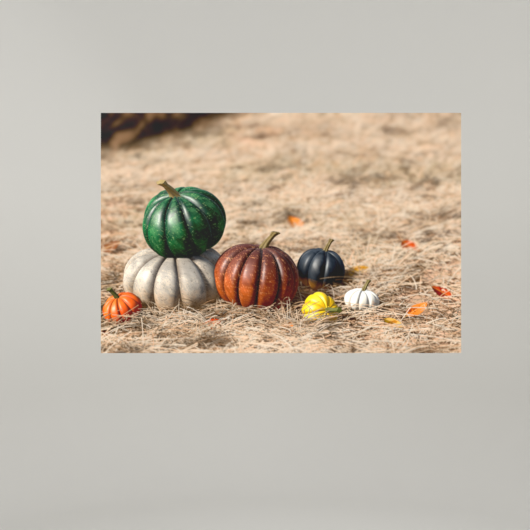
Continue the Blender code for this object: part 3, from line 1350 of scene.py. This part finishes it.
def coat_plate():
    """The thin continuous layer of adhesive against the film."""
    half_width, half_height = (COAT_HIGH.x - COAT_LOW.x) / 2, (COAT_HIGH.z - COAT_LOW.z) / 2
    rim = rounded_rim(half_width, half_height, COAT_CORNER_RADIUS)
    count = len(rim)
    points = [(x, depth, z) for depth in (COAT_LOW.y, PLATE_BACK) for x, z in rim]
    front, back = list(range(count)), list(range(2 * count - 1, count - 1, -1))
    mesh = new_mesh("coat_plate", points, [front, *wall_faces(count, 2), back])
    return placed("coat_plate", mesh)


def adhesive_coat():
    """The adhesive with its air channels, which stands for the plain coat of the frame."""
    plate = coat_plate()
    mesh = channelled_coat(plate, tacky_adhesive())
    bpy.data.objects.remove(plate)
    return placed("channelled_adhesive", mesh)


# ---- Materials


class Finish(Nodes):
    """A material in the making, whose patterns sit on the piece's own coordinates in metres."""

    def __init__(self, name, colour, roughness, specular):
        self.material = bpy.data.materials.new(name)
        self.material.use_nodes = True
        super().__init__(self.material.node_tree)
        self.surface = self.tree.nodes["Principled BSDF"].inputs
        self.surface["Base Color"].default_value = (*colour, 1.0)
        self.surface["Roughness"].default_value = roughness
        self.surface["Specular IOR Level"].default_value = specular
        self.place = self.node("ShaderNodeTexCoord").outputs["Object"]

    def grain(self, size, detail=2.0):
        """Noise whose humps are about one size across, in metres."""
        inputs = {"Vector": self.place, "Scale": 1 / size, "Detail": detail}
        return self.node("ShaderNodeTexNoise", inputs).outputs["Fac"]

    def attribute(self, name):
        """The value of one of the mesh's attributes."""
        return self.node("ShaderNodeAttribute", attribute_name=name).outputs["Vector"]

    def part(self, vector, axis):
        """One part of a vector."""
        return self.node("ShaderNodeSeparateXYZ", {0: vector}).outputs[axis]

    def spread(self, value, start, end, low, high):
        """What runs from low to high while a value runs from start to end."""
        inputs = {"Value": value, "From Min": start, "From Max": end, "To Min": low, "To Max": high}
        return self.node("ShaderNodeMapRange", inputs).outputs["Result"]

    def varied(self, low, high, size, detail=2.0):
        """What wanders between two values in humps about one size across."""
        return self.spread(self.grain(size, detail), 0.3, 0.7, low, high)

    def run_together(self, tones, place):
        """Colours spaced evenly along a place from 0 to 1, each running into the next."""
        tone = tones[0]
        for k, following in enumerate(tones[1:]):
            share = self.spread(place, (k + 0.5) / len(tones), (k + 1.5) / len(tones), 0.0, 1.0)
            blend = self.node("ShaderNodeMix", {0: share}, data_type="VECTOR")
            self.link(tone, blend.inputs[4])
            self.link(following, blend.inputs[5])
            tone = blend.outputs[1]
        return tone

    def paint(self, colour, factor):
        """Colours the surface, made lighter or darker by a factor."""
        node = self.node("ShaderNodeVectorMath", {0: colour, "Scale": factor}, operation="SCALE")
        self.link(node.outputs[0], self.surface["Base Color"])

    def roughen(self, roughness):
        """Makes the surface's roughness follow a pattern."""
        self.link(roughness, self.surface["Roughness"])

    def bumps(self, *layers):
        """Raises the surface by pairs of a pattern and its height in metres."""
        normal = None
        for pattern, height in layers:
            inputs = {"Height": pattern, "Distance": height}
            if normal:
                inputs["Normal"] = normal
            normal = self.node("ShaderNodeBump", inputs).outputs["Normal"]
        self.link(normal, self.surface["Normal"])


def printed_vinyl():
    """The printed face: the picture's inks with a fine print grain, on a matte embossed film."""
    finish = Finish("printed_vinyl", (0.55, 0.42, 0.29), 0.5, 0.20)
    place = finish.attribute(PLACE_NAME)
    along, up = finish.part(place, "X"), finish.part(place, "Y")
    rows = []
    for row in range(DOTS):
        dots = [finish.attribute(DOT_NAME.format(row, column)) for column in range(DOTS)]
        rows.append(finish.run_together(dots, along))
    finish.paint(finish.run_together(rows, up), finish.varied(0.95, 1.05, PRINT_GRAIN))
    finish.roughen(finish.varied(0.46, 0.54, WIPE_MARKS))
    finish.bumps((finish.grain(EMBOSSING), FACE_RELIEF), (finish.grain(WAVES, 3.0), FACE_RELIEF))
    return finish.material


def white_vinyl():
    """The white film that shows at the cut edges and on the back."""
    finish = Finish("white_vinyl", FILM_WHITE, 0.55, 0.35)
    finish.paint(FILM_WHITE, finish.varied(0.97, 1.02, 0.004))
    finish.bumps((finish.grain(0.0004), 0.00001))
    return finish.material


def tacky_adhesive():
    """Off-white acrylic adhesive, cloudy and a little glossy, and whiter in its thin air channels."""
    finish = Finish("tacky_adhesive", (0.74, 0.74, 0.70), 0.3, 0.5)
    thin, thick = (0.86, 0.86, 0.84, 1), (0.70, 0.685, 0.61, 1)
    layer = finish.spread(finish.part(finish.place, "Y"), PLATE_BACK, COAT_HIGH.y, 0.0, 1.0)
    tints = finish.node("ShaderNodeMix", {0: layer, 6: thin, 7: thick}, data_type="RGBA")
    finish.paint(tints.outputs[2], finish.varied(0.93, 1.05, 0.06, 4.0))
    finish.roughen(finish.varied(0.24, 0.40, 0.02))
    finish.bumps((finish.grain(0.0012), 0.00003))
    return finish.material


def studio_paper():
    """Warm pale grey paper, with painted shade that makes it a little darker towards the floor."""
    finish = Finish("studio_paper", PAPER, 0.9, 0.2)
    height = finish.part(finish.place, "Z")
    # Painted shade: the paper's colour falls to 0.86 of itself at the floor and is full from 0.3 m up
    finish.paint(PAPER, finish.spread(height, FLOOR_LEVEL, 0.3, 0.86, 1.0))
    return finish.material


# ---- Studio


def studio_drum():
    """A round pale floor that sweeps up into a plain wall a long way off."""
    flat = DRUM_RADIUS - DRUM_SWEEP
    profile = [(flat, FLOOR_LEVEL)]
    for k in range(1, SWEEP_STEPS + 1):
        angle = math.pi / 2 * k / SWEEP_STEPS
        rise = DRUM_SWEEP * (1 - math.cos(angle))
        profile.append((flat + DRUM_SWEEP * math.sin(angle), FLOOR_LEVEL + rise))
    profile.append((DRUM_RADIUS, DRUM_TOP))
    points = [(0.0, 0.0, FLOOR_LEVEL)]
    for reach, level in profile:
        for k in range(DRUM_SIDES):
            angle = math.tau * k / DRUM_SIDES
            points.append((reach * math.cos(angle), reach * math.sin(angle), level))
    middle = [(0, 1 + k, 1 + (k + 1) % DRUM_SIDES) for k in range(DRUM_SIDES)]
    sides = wall_faces(DRUM_SIDES, len(profile), first=1)
    mesh = new_mesh("studio_drum", points, [*middle, *sides])
    mesh.shade_smooth()
    mesh.materials.append(studio_paper())
    return placed("studio_drum", mesh)


def softbox(name, place, size, power):
    """A square lamp that faces the print and that the camera doesn't see."""
    lamp = bpy.data.lights.new(name, "AREA")
    lamp.size = size
    lamp.energy = power
    box = placed(name, lamp)
    box.location = place
    box.rotation_euler = (-box.location).to_track_quat("-Z", "Y").to_euler()
    box.visible_camera = False


def daylight(strength):
    """Even white light from all round."""
    world = bpy.data.worlds.new("even_light")
    world.use_nodes = True
    background = world.node_tree.nodes["Background"]
    background.inputs["Color"].default_value = (1.0, 1.0, 1.0, 1.0)
    background.inputs["Strength"].default_value = strength
    bpy.context.scene.world = world


def camera():
    """The camera, square on to the print and a little below and left of its middle."""
    lens = bpy.data.cameras.new("camera")
    lens.lens = LENS
    view = placed("camera", lens)
    view.location = CAMERA_PLACE
    view.rotation_euler = (math.pi / 2, 0, 0)
    bpy.context.scene.camera = view


def build():
    """The studio round the frame, and the pieces that take the place of its two nodes."""
    camera()
    bpy.context.scene.view_settings.view_transform = "Standard"
    daylight(DAYLIGHT)
    for name, lamp in LAMPS.items():
        softbox(name, *lamp)
    studio_drum()
    film = film_sheet()
    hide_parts("print_film")
    coat = adhesive_coat()
    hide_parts("adhesive_coat")
    for piece in (film, coat):
        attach(piece, "root")


build()
